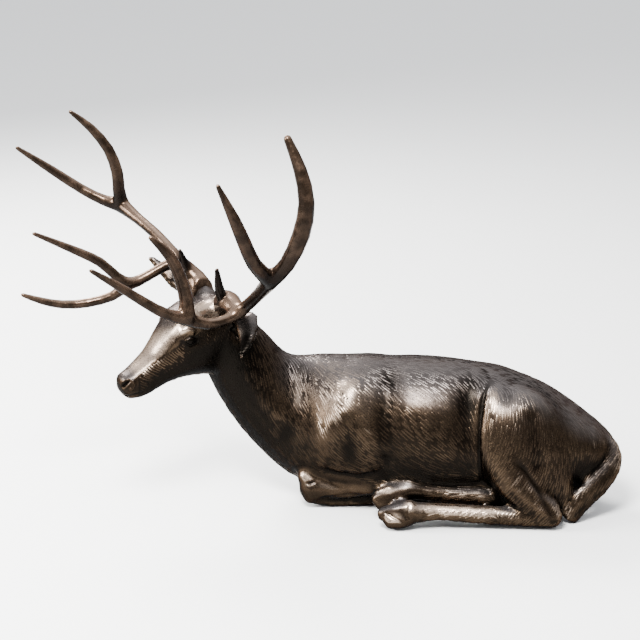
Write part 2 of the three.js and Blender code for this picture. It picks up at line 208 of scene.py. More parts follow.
@dataclass(frozen=True)
class HeadFrame:
    """The turned head's own frame: forward, left and up from the crown."""

    crown: Point = (-0.572, -0.06, 0.555)
    turn: float = math.radians(40)

    def axes(self) -> np.ndarray:
        """Gives the forward, left and up directions as rows."""
        cos, sin = math.cos(self.turn), math.sin(self.turn)
        return np.array([(-cos, -sin, 0.0), (sin, -cos, 0.0), (0.0, 0.0, 1.0)])

    def place(self, points: Sequence[Point]) -> list[Point]:
        """Turns places forward, left and up of the crown into places of the object."""
        placed = np.asarray(points) @ self.axes() + np.asarray(self.crown)
        return [tuple(p) for p in placed]

    def read(self, at: np.ndarray) -> np.ndarray:
        """Gives how far forward, left and up of the crown each place lies."""
        return (at - np.asarray(self.crown)) @ self.axes().T


HEAD = HeadFrame()


@dataclass(frozen=True)
class Edge:
    """A straight edge in the head's side view: a place forward and up of the crown, and a slope."""

    forward: float
    up: float
    slope: float

    def height(self, place: np.ndarray) -> np.ndarray:
        """Gives how far above the edge places in the head's frame lie; below it is negative."""
        return place[:, 2] - self.up - self.slope * (place[:, 0] - self.forward)


@dataclass(frozen=True)
class Part:
    """A rounded part of the stag: its middle and how far it reaches along each axis."""

    at: Point
    reach: Point

    def apart(self, at: np.ndarray) -> np.ndarray:
        """Gives how far places lie from the middle, in reaches, squared."""
        return (((at - np.asarray(self.at)) / np.asarray(self.reach)) ** 2).sum(1)


@dataclass(frozen=True)
class Swell(Part):
    """A soft rise on the surface, or a dip if its height is negative; also a patch of painted highlight in
    the patina, painted shade where negative.
    """

    height: float


@dataclass(frozen=True)
class Groove:
    """A crease pressed along a line on the surface, or a ridge if its depth is negative."""

    points: Sequence[Point]
    width: float
    depth: float
    fade: float = 0.2
    through: float = 0.035


@dataclass(frozen=True)
class Lie:
    """How the coat lies at one place: which way its strokes run, along X and Z."""

    at: Point
    way: Span


def within(at: np.ndarray, parts: Sequence[Part]) -> np.ndarray:
    """Says which places lie within any of some parts.

    Args:
        at: The places, one row each.
        parts: The parts.

    Returns:
        Whether each place is within.
    """
    inside = np.zeros(len(at), bool)
    for part in parts:
        inside |= part.apart(at) < 1
    return inside


def line_distance(at: np.ndarray, points: Sequence[Point]) -> np.ndarray:
    """Measures how far places lie from a line through points.

    Args:
        at: The places, one row each.
        points: The line's own points.

    Returns:
        The distance of each place.
    """
    line = np.asarray(points, float)
    best = np.full(len(at), np.inf)
    for start, end in zip(line[:-1], line[1:]):
        way = end - start
        share = np.clip((at - start) @ way / (way @ way), 0, 1)
        best = np.minimum(best, np.linalg.norm(at - start - share[:, None] * way, axis=1))
    return best


def on_both_sides(lines: Sequence[Groove]) -> list[Groove]:
    """Places creases of the head on both of its sides.

    Args:
        lines: The creases of the left side, forward, left and up of the crown.

    Returns:
        The creases of both sides, in the object's frame.
    """
    sides = []
    for side, line in product((1, -1), lines):
        points = HEAD.place([(forward, left * side, up) for forward, left, up in line.points])
        sides.append(replace(line, points=points))
    return sides


def mirrored(swells: Sequence[Swell]) -> list[Swell]:
    """Repeats swells of the near side on the far side."""
    return [*swells, *(replace(swell, at=(swell.at[0], -swell.at[1], swell.at[2])) for swell in swells)]


# Folds of the trunk and the limbs
THIGH_CREASE = ((0.159, -0.069, 0.359), (0.142, -0.11, 0.331), (0.135, -0.134, 0.284),
                (0.134, -0.153, 0.231), (0.137, -0.162, 0.176), (0.145, -0.152, 0.111),
                (0.174, -0.162, 0.076))
THIGH_EDGE = ((0.171, -0.078, 0.354), (0.155, -0.114, 0.327), (0.148, -0.139, 0.281),
              (0.148, -0.166, 0.231), (0.152, -0.18, 0.181), (0.162, -0.169, 0.122))
CREASE_TOP = ((0.132, -0.014, 0.378), (0.142, -0.036, 0.373), (0.157, -0.064, 0.363))
THIGH_HOLLOW = ((0.256, -0.133, 0.319), (0.276, -0.163, 0.263), (0.284, -0.177, 0.2), (0.291, -0.18, 0.138))
GASKIN_CREASE = ((0.224, -0.19, 0.191), (0.252, -0.187, 0.161), (0.289, -0.19, 0.111),
                 (0.318, -0.207, 0.062), (0.333, -0.21, 0.03))
ARM_RIDGE = ((-0.19, -0.139, 0.317), (-0.226, -0.15, 0.282), (-0.25, -0.155, 0.241),
             (-0.26, -0.16, 0.202), (-0.264, -0.157, 0.156))
ARM_CREASE = ((-0.1, -0.109, 0.337), (-0.112, -0.138, 0.286), (-0.115, -0.159, 0.233),
              (-0.108, -0.167, 0.183), (-0.099, -0.158, 0.13))
ELBOW_CREASE = ((-0.299, -0.139, 0.127), (-0.242, -0.148, 0.113), (-0.172, -0.153, 0.11),
                (-0.108, -0.156, 0.134))
NECK_FOLD = ((-0.396, -0.027, 0.397), (-0.378, -0.063, 0.36), (-0.364, -0.103, 0.31),
             (-0.361, -0.13, 0.25), (-0.366, -0.132, 0.18))
FOLDS = (
    Groove(THIGH_CREASE, 0.007, 0.006),
    Groove(THIGH_EDGE, 0.016, -0.002),
    Groove(CREASE_TOP, 0.012, 0.002),
    Groove(THIGH_HOLLOW, 0.024, 0.005),
    Groove(GASKIN_CREASE, 0.008, 0.004),
    Groove(ARM_RIDGE, 0.028, -0.006, 0.35),
    Groove(ARM_CREASE, 0.026, 0.005),
    Groove(ARM_CREASE[3:], 0.01, 0.004, 0.4),
    Groove(ELBOW_CREASE, 0.01, 0.005, 0.3),
    Groove(NECK_FOLD, 0.022, 0.004),
)

# Creases and ridges of the feet, the knee and the forearm
FEET = (
    Groove(((-0.103, -0.248, 0.053), (-0.076, -0.26, 0.042), (-0.048, -0.259, 0.027)), 0.0035, 0.004),
    Groove(((-0.034, -0.239, 0.076), (-0.043, -0.253, 0.057), (-0.045, -0.259, 0.034)), 0.004, 0.002),
    Groove(((-0.083, -0.196, 0.071), (-0.072, -0.199, 0.064)), 0.003, 0.0025),
    Groove(((-0.14, -0.165, 0.072), (-0.126, -0.175, 0.079), (-0.089, -0.177, 0.096)), 0.005, -0.003),
    Groove(((-0.321, -0.137, 0.074), (-0.307, -0.141, 0.079), (-0.292, -0.137, 0.083)), 0.0045, 0.003),
    Groove(((-0.291, -0.132, 0.028), (-0.208, -0.142, 0.053), (-0.164, -0.136, 0.05)), 0.008, 0.003),
)

# Creases of the face, forward, left and up of the crown
BROW = ((0.138, 0.055, -0.054), (0.12, 0.066, -0.048), (0.096, 0.069, -0.061))
UPPER_LID = ((0.13, 0.066, -0.075), (0.115, 0.071, -0.066), (0.091, 0.071, -0.076))
LOWER_LID = ((0.13, 0.066, -0.08), (0.114, 0.068, -0.093), (0.089, 0.072, -0.086))
TEAR_LINE = ((0.134, 0.063, -0.072), (0.136, 0.063, -0.088), (0.137, 0.062, -0.107))
NOSTRIL_SLIT = ((0.287, 0.014, -0.191), (0.282, 0.02, -0.184), (0.277, 0.029, -0.174),
                (0.271, 0.032, -0.168))
NOSTRIL_RIM = ((0.266, 0.033, -0.166), (0.261, 0.036, -0.179), (0.268, 0.038, -0.19),
               (0.275, 0.034, -0.197))
MOUTH = ((0.278, 0.0, -0.214), (0.265, 0.034, -0.209), (0.229, 0.036, -0.204))
FACE = (
    Groove(BROW, 0.009, -0.005),
    Groove(UPPER_LID, 0.003, 0.003, 0.1),
    Groove(LOWER_LID, 0.003, 0.0025, 0.1),
    Groove(TEAR_LINE, 0.006, 0.003),
    Groove(NOSTRIL_SLIT, 0.0035, 0.006, 0.1),
    Groove(NOSTRIL_RIM, 0.0032, -0.0028, 0.1),
    Groove(MOUTH, 0.004, 0.003),
)
EAR_HOLLOW = ((-0.522, -0.098, 0.49), (-0.508, -0.101, 0.469), (-0.502, -0.12, 0.46))
GROOVES = (*FOLDS, *FEET, Groove(EAR_HOLLOW, 0.007, 0.005, 0.2, 0.008), *on_both_sides(FACE))

# Places of the head, and four pits of the casting on the shoulder
EYES_AT = ((0.112, 0.072, -0.08), (0.112, -0.072, -0.08))
EYE = HEAD.place(EYES_AT[:1])[0]
NOSTRIL = HEAD.place([(0.28, 0.023, -0.18)])[0]
NOSE = HEAD.place([(0.262, 0.012, -0.182)])[0]
PITS = ((-0.224, -0.131, 0.328), (-0.215, -0.135, 0.324), (-0.22, -0.138, 0.32), (-0.212, -0.14, 0.318))
PIT_REACH = (0.0026, 0.0026, 0.0026)
PIT_DEPTH = 0.002
PIT_TONE = -1.0

# Muscles, and the near eye's ball
SHOULDER_MUSCLES = (
    Swell((-0.2, -0.122, 0.335), (0.042, 0.06, 0.045), 0.006),
    Swell((-0.2, -0.182, 0.2), (0.026, 0.06, 0.055), -0.006),
    Swell((-0.34, -0.09, 0.32), (0.03, 0.06, 0.055), -0.004),
    Swell((-0.374, -0.131, 0.199), (0.03, 0.05, 0.04), -0.006),
    Swell((-0.113, -0.085, 0.362), (0.034, 0.06, 0.045), -0.004),
    Swell((-0.108, -0.1, 0.35), (0.024, 0.05, 0.04), -0.004),
    Swell((-0.055, -0.139, 0.3), (0.055, 0.06, 0.06), 0.003),
    Swell((0.097, -0.132, 0.299), (0.028, 0.06, 0.085), -0.008),
)
HAUNCH_MUSCLES = (
    Swell((0.167, -0.127, 0.315), (0.025, 0.05, 0.04), 0.005),
    Swell((0.205, -0.118, 0.338), (0.022, 0.05, 0.02), -0.003),
)
SWELLS = (
    *mirrored(SHOULDER_MUSCLES),
    *HAUNCH_MUSCLES,
    *(Swell(at, PIT_REACH, -PIT_DEPTH) for at in PITS),
    Swell(EYE, (0.011, 0.011, 0.008), 0.003),
)

# Where forms flow into one another: crown, nape, throat, hip, elbow, buttock, thigh and withers
DEEP_BLENDS = (
    Swell((-0.6, -0.08, 0.545), (0.075, 0.07, 0.05), 0.45),
    Swell((-0.51, -0.02, 0.5), (0.05, 0.07, 0.05), 0.5),
    Swell((-0.549, -0.125, 0.404), (0.04, 0.04, 0.04), 1.2),
    Swell((0.19, -0.08, 0.355), (0.06, 0.04, 0.03), 1.2),
    Swell((-0.18, -0.16, 0.17), (0.11, 0.08, 0.07), 1.2),
    Swell((0.31, -0.11, 0.27), (0.06, 0.08, 0.08), 1.2),
    Swell((0.23, -0.18, 0.25), (0.05, 0.08, 0.06), 1.2),
    Swell((-0.35, -0.06, 0.35), (0.05, 0.08, 0.06), 1.2),
)

# Thin ears, parts without a coat and parts that take the finest work
EARS = (
    Swell((-0.475, -0.165, 0.495), (0.05, 0.07, 0.06), 1.2),
    Swell((-0.69, 0.05, 0.565), (0.09, 0.09, 0.09), 1.2),
)
BARE_EARS = (
    Part((-0.478, -0.175, 0.482), (0.06, 0.1, 0.08)),
    Part((-0.69, 0.05, 0.565), (0.1, 0.1, 0.1)),
)
EYES = tuple(Part(at, (0.026, 0.026, 0.026)) for at in HEAD.place(EYES_AT))
FEET_PARTS = (
    Part((-0.08, -0.21, 0.055), (0.085, 0.075, 0.06)),
    Part((-0.315, -0.115, 0.06), (0.06, 0.06, 0.06)),
)
FOREARM = Part((-0.24, -0.13, 0.06), (0.13, 0.05, 0.05))
SMOOTH_PARTS = (*FEET_PARTS, *BARE_EARS, FOREARM)
FINEST_PARTS = (
    Part(NOSE, (0.04, 0.04, 0.036)),
    Part((-0.614, -0.188, 0.484), (0.036, 0.03, 0.026)),
    Part((-0.478, -0.168, 0.488), (0.034, 0.072, 0.054)),
    Part((-0.085, -0.225, 0.055), (0.07, 0.05, 0.05)),
    Part((-0.31, -0.135, 0.082), (0.028, 0.028, 0.024)),
    Part((-0.218, -0.136, 0.322), (0.018, 0.018, 0.018)),
)

# Patches of painted highlight in the copper of wear, and painted shade where negative: shoulder, back and
# flank first
TRUNK_PAINTED_LIGHT = (
    Swell((-0.232, -0.12, 0.337), (0.055, 0.06, 0.045), 0.6),
    Swell((-0.28, -0.15, 0.212), (0.026, 0.05, 0.08), 0.42),
    Swell((-0.055, -0.13, 0.315), (0.055, 0.05, 0.04), 0.1),
    Swell((-0.106, -0.095, 0.352), (0.02, 0.04, 0.036), -0.32),
    Swell((-0.352, -0.065, 0.35), (0.022, 0.05, 0.04), -0.22),
    Swell((-0.27, -0.05, 0.377), (0.07, 0.04, 0.02), 0.16),
    Swell((-0.05, 0.03, 0.392), (0.3, 0.03, 0.02), -0.4),
    Swell((0.105, -0.11, 0.332), (0.04, 0.06, 0.06), -0.4),
    Swell((0.0, -0.165, 0.23), (0.09, 0.06, 0.05), -0.12),
    Swell((-0.218, -0.136, 0.322), (0.014, 0.02, 0.012), 0.4),
    Swell((0.0, -0.17, 0.12), (0.16, 0.08, 0.05), -0.15),
    Swell((-0.2, -0.185, 0.195), (0.028, 0.05, 0.048), -0.12),
    *(Swell(at, PIT_REACH, PIT_TONE) for at in PITS),
)
# Haunch: painted highlights on the thigh front and gaskin, painted shade on the rump top and buttock
HAUNCH_PAINTED_LIGHT = (
    Swell((0.25, -0.03, 0.36), (0.14, 0.06, 0.05), -0.18),
    Swell((0.165, -0.127, 0.318), (0.018, 0.05, 0.036), 0.5),
    Swell((0.235, -0.15, 0.3), (0.04, 0.06, 0.06), 0.12),
    Swell((0.222, -0.205, 0.139), (0.05, 0.05, 0.05), 0.16),
    Swell((0.44, -0.1, 0.1), (0.06, 0.06, 0.08), -0.15),
)
# Legs: painted highlights on the forearm, shins, hooves, knee and tail tip, painted shade in the knee
# crease
LEGS_PAINTED_LIGHT = (
    Swell((-0.24, -0.135, 0.07), (0.08, 0.03, 0.02), 0.35),
    Swell((0.1, -0.228, 0.06), (0.12, 0.03, 0.02), 0.8),
    Swell((-0.08, -0.262, 0.036), (0.026, 0.03, 0.014), 0.95),
    Swell((-0.035, -0.245, 0.07), (0.016, 0.03, 0.014), 0.75),
    Swell((-0.112, -0.18, 0.088), (0.03, 0.03, 0.01), 0.95),
    Swell((-0.322, -0.128, 0.09), (0.014, 0.04, 0.018), 0.7),
    Swell((-0.307, -0.141, 0.079), (0.014, 0.01, 0.004), -0.8),
    Swell((0.36, -0.15, 0.055), (0.01, 0.03, 0.026), 0.7),
)
# Head: painted highlights on the brow, bridge, muzzle and crown, painted shade in the eye and nostril and
# on the lower muzzle, cheek, crown and ear
HEAD_PAINTED_LIGHT = (
    Swell((-0.632, -0.19, 0.503), (0.024, 0.03, 0.013), 1.0),
    Swell(EYE, (0.018, 0.018, 0.011), -0.8),
    Swell(NOSTRIL, (0.009, 0.009, 0.009), -0.9),
    Swell((-0.712, -0.18, 0.463), (0.065, 0.045, 0.05), 0.6),
    Swell((-0.74, -0.22, 0.408), (0.03, 0.035, 0.03), 0.6),
    Swell((-0.69, -0.21, 0.376), (0.07, 0.05, 0.024), -0.35),
    Swell((-0.59, -0.17, 0.43), (0.05, 0.06, 0.05), -0.2),
    Swell((-0.572, -0.13, 0.539), (0.034, 0.04, 0.026), 1.2),
    Swell((-0.576, -0.124, 0.547), (0.024, 0.026, 0.02), 0.9),
    Swell((-0.59, -0.06, 0.56), (0.06, 0.06, 0.035), -0.3),
    Swell((-0.48, -0.165, 0.49), (0.04, 0.06, 0.06), -0.38),
    Swell((-0.468, -0.198, 0.478), (0.014, 0.035, 0.035), -0.5),
    Swell((-0.468, -0.218, 0.463), (0.02, 0.024, 0.026), -0.55),
)
# Neck: painted shade on the near side of the neck and on the chest
NECK_PAINTED_SHADE = (
    Swell((-0.47, -0.08, 0.43), (0.06, 0.07, 0.07), -0.38),
    Swell((-0.5, -0.12, 0.33), (0.09, 0.1, 0.12), -0.33),
    Swell((-0.44, -0.11, 0.19), (0.07, 0.08, 0.09), -0.2),
)
PAINTED_HIGHLIGHTS_AND_SHADE = (*TRUNK_PAINTED_LIGHT, *HAUNCH_PAINTED_LIGHT, *LEGS_PAINTED_LIGHT, *HEAD_PAINTED_LIGHT, *NECK_PAINTED_SHADE)

# Bounds of the coats on the head, in its own frame
HEAD_BACK = -0.06
JAW_EDGE = Edge(-0.045, -0.07, -1.26)
BRIDGE_EDGE = Edge(0.1, -0.07, -0.63)
CHEEK_SPAN = (-0.01, 0.25)
BITE_START = 0.13
BITE_HEIGHT = 0.008
WRINKLES_START = 0.125
WRINKLES_DROP = -0.048
CROWN_MIDDLE = 0.03
CROWN_REACH = (0.06, 0.056)
CROWN_FLOOR = -0.06

# Bounds of the coats on the trunk
COAT_SPAN = (-0.66, 0.6)
COAT_FLOOR = 0.012
SIDES_MEET = 0.02
TUFTS_SPAN = (-0.33, 0.1)
TUFTS_MIDDLE = 0.012
TUFTS_REACH = 0.022
TUFTS_FLOOR = 0.3


def on_head(at: np.ndarray) -> np.ndarray:
    """Says which places belong to the head, in front of an edge from the ears down behind the jaw."""
    place = HEAD.read(at)
    return (place[:, 0] > HEAD_BACK) & (JAW_EDGE.height(place) > 0)


def beside_bridge(at: np.ndarray) -> np.ndarray:
    """Says which places are on the sides of the face, below the smooth bridge and behind the nose.

    Args:
        at: The places, one row each.

    Returns:
        Whether each place is there.
    """
    place = HEAD.read(at)
    forward = place[:, 0]
    top = np.where(forward > BITE_START, BITE_HEIGHT, 0.0)
    span = (forward > CHEEK_SPAN[0]) & (forward < CHEEK_SPAN[1])
    return on_head(at) & span & (BRIDGE_EDGE.height(place) < top)


def on_muzzle(at: np.ndarray) -> np.ndarray:
    """Says which places are in the band of wrinkles that bites into the lower edge of the bridge."""
    place = HEAD.read(at)
    return beside_bridge(at) & (place[:, 0] > WRINKLES_START) & (BRIDGE_EDGE.height(place) > WRINKLES_DROP)


def on_cheek(at: np.ndarray) -> np.ndarray:
    """Says which places are on the cheeks and jaw, clear of eyes, ears and the muzzle's wrinkles."""
    return beside_bridge(at) & ~on_muzzle(at) & ~within(at, EYES) & ~within(at, BARE_EARS)


def on_crown(at: np.ndarray) -> np.ndarray:
    """Says which places are on the tufted crown between the antlers."""
    forward, left, up = HEAD.read(at).T
    return ((np.abs(forward - CROWN_MIDDLE) < CROWN_REACH[0]) & (np.abs(left) < CROWN_REACH[1])
            & (up > CROWN_FLOOR))


def on_spine(at: np.ndarray) -> np.ndarray:
    """Says which places are in the band of small tufts along the spine."""
    span = (at[:, 0] > TUFTS_SPAN[0]) & (at[:, 0] < TUFTS_SPAN[1])
    return span & (np.abs(at[:, 1] - TUFTS_MIDDLE) < TUFTS_REACH) & (at[:, 2] > TUFTS_FLOOR)


def on_hide(near: bool) -> Region:
    """Makes a test for the hide of one side, clear of the ground, the head and the feet.

    Args:
        near: Whether it is the near side.

    Returns:
        A function that says for each place whether the coat covers it.
    """
    def inside(at: np.ndarray) -> np.ndarray:
        """Says which places are on this side's hide."""
        stretch = (at[:, 0] >= COAT_SPAN[0]) & (at[:, 0] < COAT_SPAN[1]) & (at[:, 2] > COAT_FLOOR)
        return stretch & ((at[:, 1] < SIDES_MEET) == near) & ~on_head(at) & ~within(at, SMOOTH_PARTS)
    return inside


def only(piece: bpy.types.Object) -> None:
    """Makes one piece the only selected and active object.

    Args:
        piece: The piece.
    """
    bpy.ops.object.select_all(action="DESELECT")
    piece.select_set(True)
    bpy.context.view_layer.objects.active = piece


def new_object(name: str, data: bpy.types.ID) -> bpy.types.Object:
    """Links a mesh, lamp or camera into the scene as an object at the origin.

    Args:
        name: The object's name.
        data: What it holds.

    Returns:
        The object.
    """
    holder = bpy.data.objects.new(name, data)
    bpy.context.scene.collection.objects.link(holder)
    return holder


def read_values(source: bpy.types.bpy_prop_collection, name: str, columns: int,
                kind: type = np.float32) -> np.ndarray:
    """Reads one value of every element of a mesh.

    Args:
        source: The elements.
        name: The value's name.
        columns: How many numbers it has.
        kind: The kind of number that is stored.

    Returns:
        One row for each element.
    """
    values = np.empty(len(source) * columns, kind)
    source.foreach_get(name, values)
    return values.reshape(-1, columns).astype(float if kind is np.float32 else int)


def store_values(mesh: bpy.types.Mesh, name: str, values: np.ndarray) -> None:
    """Stores one value under a name for each point of a mesh."""
    store = mesh.attributes.new(name, "FLOAT", "POINT")
    store.data.foreach_set("value", values.astype(np.float32))


def dress(piece: bpy.types.Object, finish: Patina) -> None:
    """Gives a piece its finish and the body that it rides on.

    Args:
        piece: The piece to dress.
        finish: The finish.
    """
    if finish.name not in bpy.data.materials:
        finish.material()
    piece.data.materials.append(bpy.data.materials[finish.name])
    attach(piece, BODY)


class Wax:
    """A mesh being worked by hand: its points are moved and then set back into the piece."""

    # How far a stroke moves a point towards its neighbours, and how far the next one gives that back
    STROKE = 0.5
    GIVE_BACK = 0.52
    CLOSE_ROUNDS = 4
    WIDE_ROUNDS = 24
    FACING_ROUNDS = 5
    # Sheltered patina and painted shade where the surface faces down, and how far the darker patina and
    # painted shade between strokes show on each tone
    SHELTER_AND_SHADE_FACING = (-0.05, 0.1, 0.25, 0.4)
    SHELTER_AND_SHADE_TONES = (-0.52, -0.28, -0.08, 0.0)
    GROOVE_PATINA_AND_SHADE_TONES = (-0.62, -0.2, 0.2, 0.9)
    GROOVE_PATINA_AND_SHADE_SHARES = (0.3, 1.0, 0.9, 0.45)

    def __init__(self, piece: bpy.types.Object) -> None:
        """Takes up a piece's mesh.

        Args:
            piece: The piece.
        """
        self.mesh = piece.data
        self.at = read_values(self.mesh.vertices, "co", 3)
        self.ends = read_values(self.mesh.edges, "vertices", 2, np.int32)
        self.neighbours = np.maximum(np.bincount(self.ends.ravel(), minlength=len(self.at)), 1)[:, None]

    def around(self, values: np.ndarray) -> np.ndarray:
        """Gives the mean of each point's neighbours.

        Args:
            values: One row for each point.

        Returns:
            The means, one row for each point.
        """
        one, other = self.ends.T
        count = len(values)
        columns = [np.bincount(one, column[other], count) + np.bincount(other, column[one], count)
                   for column in values.T]
        return np.stack(columns, 1) / self.neighbours

    def evened(self, values: np.ndarray, rounds: int) -> np.ndarray:
        """Evens values out among neighbours.

        Args:
            values: One row for each point.
            rounds: How often they are evened.

        Returns:
            The evened values.
        """
        evened = values.copy()
        for _ in range(rounds):
            evened += self.STROKE * (self.around(evened) - evened)
        return evened

    def smooth(self, rounds: int, share: np.ndarray | float = 1.0, keep_size: bool = True) -> None:
        """Smooths the surface.

        Args:
            rounds: How often it is stroked.
            share: How strongly each point takes part.
            keep_size: Whether each stroke is followed by one that gives the lost size back.
        """
        weight = np.broadcast_to(np.asarray(share, float), len(self.at))[:, None]
        for _ in range(rounds):
            self.at += self.STROKE * weight * (self.around(self.at) - self.at)
            if keep_size:
                self.at -= self.GIVE_BACK * weight * (self.around(self.at) - self.at)

    def normals(self) -> np.ndarray:
        """Sets the points back and gives the outward direction at each."""
        self.set_back()
        return read_values(self.mesh.vertices, "normal", 3)

    def set_back(self) -> None:
        """Writes the points into the mesh."""
        self.mesh.vertices.foreach_set("co", self.at.astype(np.float32).ravel())
        self.mesh.update()

    def press(self, grooves: Sequence[Groove]) -> None:
        """Presses creases and raises ridges.

        Args:
            grooves: The lines to follow.
        """
        normals = self.normals()
        moved = np.zeros(len(self.at))
        for groove in grooves:
            line = np.asarray(groove.points, float)
            margin = groove.through + groove.width
            near = np.all((self.at > line.min(0) - margin) & (self.at < line.max(0) + margin), axis=1)
            rows = np.flatnonzero(near)
            apart, along = self._from_line(self.at[rows], normals[rows], line, groove.through)
            fade = np.clip(np.minimum(along, 1 - along) / groove.fade, 0, 1)
            fade = fade * fade * (3 - 2 * fade)
            moved[rows] -= groove.depth * fade * np.exp(-(apart / groove.width) ** 2)
        self.at += normals * moved[:, None]

    @staticmethod
    def _from_line(at: np.ndarray, normals: np.ndarray, line: np.ndarray,
                   through: float) -> tuple[np.ndarray, np.ndarray]:
        """Measures how far points lie beside a line.

        Args:
            at: The points.
            normals: The outward direction at each point.
            line: The line's own points.
            through: How far above or below the line a point may lie and still belong to it.

        Returns:
            The distance beside the line, and how far along it as a share of its length.
        """
        lengths = np.linalg.norm(np.diff(line, axis=0), axis=1)
        begun = np.concatenate([[0], np.cumsum(lengths)])
        best = np.full(len(at), np.inf)
        share = np.zeros(len(at))
        for k, length in enumerate(lengths):
            direction = (line[k + 1] - line[k]) / length
            held = np.clip((at - line[k]) @ direction, 0, length)
            offset = at - line[k] - held[:, None] * direction
            depth = (offset * normals).sum(1)
            apart = np.sqrt(np.maximum((offset ** 2).sum(1) - depth ** 2, 0))
            apart[np.abs(depth) > through] = np.inf
            nearer = apart < best
            best[nearer] = apart[nearer]
            share[nearer] = (begun[k] + held[nearer]) / begun[-1]
        return best, share

    def spread(self, swells: Sequence[Swell]) -> np.ndarray:
        """Adds up how high soft swells stand at each point.

        Args:
            swells: The rises and hollows.

        Returns:
            The height at each point.
        """
        height = np.zeros(len(self.at))
        for swell in swells:
            height += swell.height * np.exp(-swell.apart(self.at))
        return height

    def share(self, swells: Sequence[Swell]) -> np.ndarray:
        """Gives how far each point belongs to some swells, from 0 to 1."""
        return np.clip(self.spread(swells), 0, 1)

    def heave(self, swells: Sequence[Swell]) -> None:
        """Raises soft swells and sinks hollows."""
        self.at += self.normals() * self.spread(swells)[:, None]

    def mark_relief_and_painted_light(self, fine: float, broad: float, wear_and_painted_light: Sequence[Swell], plain: Sequence[Swell],
                    groove_patina_and_shade: np.ndarray) -> None:
        """Stores how raised or sunken each point is, from -1 to 1, for the patina, with painted highlights
        and painted shade added.

        Args:
            fine: The height that counts as full relief close by.
            broad: The height that counts as full relief further round.
            wear_and_painted_light: Patches of painted highlight, and painted shade where negative.
            plain: Thin parts whose edges stay free of copper wear.
            groove_patina_and_shade: Darker patina and painted shade between the strokes, added to the
                relief at each point, less where it is very dark or bright.
        """
        normals = self.normals()
        close = self.evened(self.at, self.CLOSE_ROUNDS)
        wide = self.evened(close, self.WIDE_ROUNDS)
        rise = ((self.at - close) * normals).sum(1) / fine + ((self.at - wide) * normals).sum(1) / broad
        rise = np.clip(rise, -1, 1) * (1 - self.share(plain)) + self.spread(wear_and_painted_light)
        facing = self.evened(normals, self.FACING_ROUNDS)
        sky = facing[:, 2] / np.linalg.norm(facing, axis=1)
        # Surfaces that face down darken: sheltered patina and painted shade
        tone = np.clip(rise + np.interp(sky, self.SHELTER_AND_SHADE_FACING, self.SHELTER_AND_SHADE_TONES), -1, 1)
        shown = groove_patina_and_shade * np.interp(tone, self.GROOVE_PATINA_AND_SHADE_TONES, self.GROOVE_PATINA_AND_SHADE_SHARES)
        store_values(self.mesh, TONE, tone)
        store_values(self.mesh, RELIEF_AND_PAINTED_LIGHT, np.clip(tone + shown, -1, 1))
        store_values(self.mesh, SKY, np.clip(sky, 0, 1))


@dataclass
class Casting:
    """One cast piece, skinned from its solid."""

    MERGED = 1e-5

    node: str
    name: str
    slot: Slot
    finish: Patina
    voxel: float
    fine_relief: float = 0.003
    broad_relief: float = 0.02
    wear_and_painted_light: Sequence[Swell] = ()
    plain: Sequence[Swell] = ()

    def skin(self) -> bpy.types.Object:
        """Makes an even fine mesh in the solid's form.

        Returns:
            The new piece.
        """
        piece = new_object(self.name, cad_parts[self.node].data.copy())
        piece.data.name = self.name
        piece.data.materials.clear()
        only(piece)
        bpy.ops.object.mode_set(mode="EDIT")
        bpy.ops.mesh.select_all(action="SELECT")
        bpy.ops.mesh.remove_doubles(threshold=self.MERGED)
        bpy.ops.object.mode_set(mode="OBJECT")
        self.prepare(piece)
        bpy.ops.object.modifier_add(type="REMESH")
        remesh = piece.modifiers[-1]
        remesh.mode = "VOXEL"
        remesh.voxel_size = self.voxel
        remesh.use_smooth_shade = True
        bpy.ops.object.modifier_apply(modifier=remesh.name)
        return piece

    def prepare(self, piece: bpy.types.Object) -> None:
        """Readies the solid's form for the skin; a plain casting is taken as it is."""

    def model(self, piece: bpy.types.Object) -> None:
        """Works the skin, in each casting's own way."""

    def groove_patina_and_shade(self, at: np.ndarray) -> np.ndarray:
        """Gives the darker patina and painted shade between a coat's strokes, added to each point's relief;
        none on a plain casting.
        """
        return np.zeros(len(at))

    def build(self) -> bpy.types.Object:
        """Makes the casting, dresses it and lets it stand for its solid.

        Returns:
            The finished piece.
        """
        piece = self.skin()
        self.model(piece)
        wax = Wax(piece)
        groove_patina_and_shade = self.groove_patina_and_shade(wax.at)
        wax.mark_relief_and_painted_light(self.fine_relief, self.broad_relief, self.wear_and_painted_light, self.plain, groove_patina_and_shade)
        dress(piece, self.finish)
        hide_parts(self.node)
        return piece


